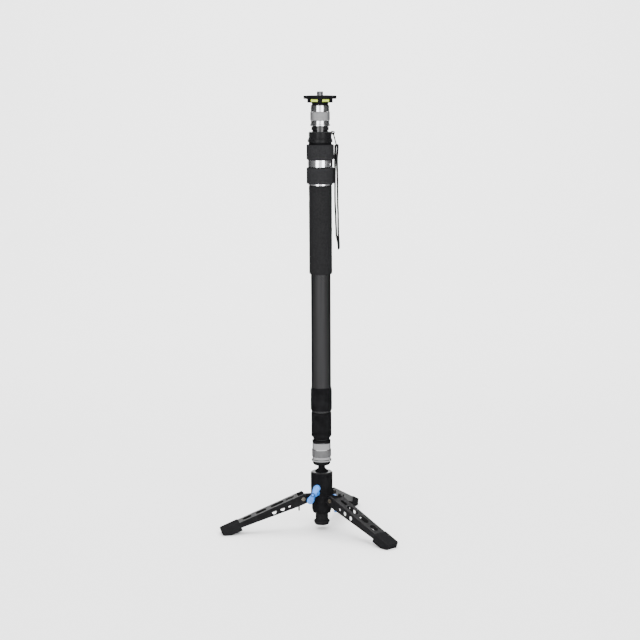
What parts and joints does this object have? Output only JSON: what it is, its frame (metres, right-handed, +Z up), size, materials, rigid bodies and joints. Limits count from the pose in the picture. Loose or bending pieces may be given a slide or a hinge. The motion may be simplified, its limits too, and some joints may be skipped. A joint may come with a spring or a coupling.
{
  "type": "camera_monopod",
  "caption": "Camera monopod: telescoping carbon column with twist lock, foam grip, quick-release ends and a ball-jointed folding three-leg foot",
  "frame": {"origin": "on the column's axis at floor level, between the three soles", "axes": "+Z up the column to the camera screw; the strap hangs on the +X side, +Y away from the usual viewer"},
  "size_m": [0.2887, 0.2973, 0.7175],
  "materials": {
    "black_anodised": "satin black anodised",
    "grey_anodised": "dark grey anodised",
    "bare_aluminium": "turned bright aluminium",
    "ball_black": "polished black anodised ball",
    "blue_anodised": "light blue anodised",
    "steel": "plain steel",
    "brass": "brass",
    "boot_rubber": "matt black rubber",
    "collar_rubber": "ribbed black rubber",
    "carbon": "woven carbon fibre in clear resin",
    "foam": "closed-cell foam",
    "inner_plastic": "moulded nylon",
    "drive_aluminium": "drawn aluminium",
    "level_glass": "yellow-green spirit level",
    "webbing": "woven black webbing"
  },
  "bodies": {
    "base": {"ball_body": "black_anodised", "ball_retaining_ring": "bare_aluminium", "ball_tension_screw": "steel", "ball_lock_ring": "bare_aluminium", "leg_hub": "black_anodised", "spindle_bushes": "brass", "pan_brake_shoe": "brass", "foot_stem": "steel", "foot_pad": "boot_rubber", "hinge_pins": "steel", "leg_stop_screws": "brass"},
    "pan": {"ball_cup": "bare_aluminium"},
    "ball_lock": {"ball_lock_knob": "blue_anodised"},
    "pan_lock": {"pan_lock_knob": "blue_anodised"},
    "leg_1": {"leg_channel_1": "black_anodised", "foot_boot_1": "boot_rubber"},
    "leg_2": {"leg_channel_2": "black_anodised", "foot_boot_2": "boot_rubber"},
    "leg_3": {"leg_channel_3": "black_anodised", "foot_boot_3": "boot_rubber"},
    "lower_section": {"ball_stem": "ball_black", "stem_spigot": "bare_aluminium", "lower_coupling_core": "bare_aluminium", "lower_detent_balls": "steel", "lower_tube": "carbon", "lower_end_ring": "black_anodised", "lower_lock_carrier": "inner_plastic", "lower_lock_shoes": "inner_plastic"},
    "lower_release": {"lower_release_collar": "grey_anodised", "lower_release_spring": "steel"},
    "lower_cam": {"lower_lock_cam": "inner_plastic"},
    "middle_section": {"middle_tube": "carbon", "middle_collar": "black_anodised", "middle_bush": "inner_plastic", "middle_lock_carrier": "inner_plastic", "middle_lock_shoes": "inner_plastic"},
    "middle_drive": {"middle_lock_cam": "inner_plastic", "drive_tube": "drive_aluminium"},
    "outer_section": {"outer_tube": "carbon", "outer_collar": "black_anodised", "outer_bush": "inner_plastic", "foam_grip": "foam", "grip_end_ring": "bare_aluminium", "fixed_grip_ring": "collar_rubber", "index_band": "bare_aluminium", "head_sleeve": "black_anodised", "head_cap": "black_anodised", "upper_coupling_core": "black_anodised", "upper_detent_balls": "steel", "plate_hub": "black_anodised", "top_plate": "black_anodised", "level_vials": "level_glass", "camera_screw": "steel"},
    "twist": {"twist_collar": "collar_rubber", "drive_spider": "inner_plastic", "drive_rod": "drive_aluminium"},
    "upper_release": {"upper_release_collar": "grey_anodised", "upper_release_spring": "steel"},
    "strap": {"strap_ring": "steel", "wrist_strap": "webbing"}
  },
  "joints": [
    {"name": "ball_pan", "type": "hinge", "parent": "base", "child": "pan", "pos_m": [0, 0, 0.06], "axis": [0, 0, 1], "continuous": true},
    {"name": "ball_tilt", "type": "hinge", "parent": "pan", "child": "lower_section", "pos_m": [0, 0, 0.091], "axis": [0, 1, 0], "range_deg": [0, 20]},
    {"name": "middle_slide", "type": "slide", "parent": "lower_section", "child": "middle_section", "axis": [0, 0, 1], "range_m": [0, 0.37]},
    {"name": "outer_slide", "type": "slide", "parent": "middle_section", "child": "outer_section", "axis": [0, 0, 1], "range_m": [0, 0.363]},
    {"name": "twist_lock", "type": "hinge", "parent": "outer_section", "child": "twist", "pos_m": [0, 0, 0.618], "axis": [0, 0, 1], "range_deg": [0, 60]},
    {"name": "middle_cam_turn", "type": "hinge", "parent": "middle_section", "child": "middle_drive", "pos_m": [0, 0, 0.6], "axis": [0, 0, 1], "range_deg": [0, 60]},
    {"name": "lower_cam_turn", "type": "hinge", "parent": "lower_section", "child": "lower_cam", "pos_m": [0, 0, 0.567], "axis": [0, 0, 1], "range_deg": [0, 60]},
    {"name": "upper_release", "type": "slide", "parent": "outer_section", "child": "upper_release", "axis": [0, 0, -1], "range_m": [0, 0.003], "stiffness_N_per_m": 600, "springref_m": -0.003, "deforming": ["upper_release_spring"]},
    {"name": "lower_release", "type": "slide", "parent": "lower_section", "child": "lower_release", "axis": [0, 0, -1], "range_m": [0, 0.003], "stiffness_N_per_m": 600, "springref_m": -0.003, "deforming": ["lower_release_spring"]},
    {"name": "leg_fold_1", "type": "hinge", "parent": "base", "child": "leg_1", "pos_m": [0.01037, 0.03154, 0.0543], "axis": [-0.95, 0.3123, 0], "range_deg": [-111.5, 0]},
    {"name": "leg_fold_2", "type": "hinge", "parent": "base", "child": "leg_2", "pos_m": [-0.0325, -0.00679, 0.0543], "axis": [0.2045, -0.9789, 0], "range_deg": [-111.5, 0]},
    {"name": "leg_fold_3", "type": "hinge", "parent": "base", "child": "leg_3", "pos_m": [0.02213, -0.02475, 0.0543], "axis": [0.7455, 0.6665, 0], "range_deg": [-111.5, 0]},
    {"name": "ball_lock_turn", "type": "hinge", "parent": "base", "child": "ball_lock", "pos_m": [-0.01227, -0.02694, 0.0644], "axis": [-0.4147, -0.91, 0], "range_deg": [0, 180]},
    {"name": "pan_lock_turn", "type": "hinge", "parent": "base", "child": "pan_lock", "pos_m": [0.01958, 0.00409, 0.041], "axis": [0.9789, 0.2045, 0], "range_deg": [0, 180]},
    {"name": "strap_swing", "type": "hinge", "parent": "outer_section", "child": "strap", "pos_m": [0.0208, 0, 0.6519], "axis": [0, -1, 0], "range_deg": [0, 75]}
  ],
  "couplings": [
    {"joint": "middle_cam_turn", "follows": "twist_lock", "ratio": 1},
    {"joint": "lower_cam_turn", "follows": "twist_lock", "ratio": 1}
  ]
}
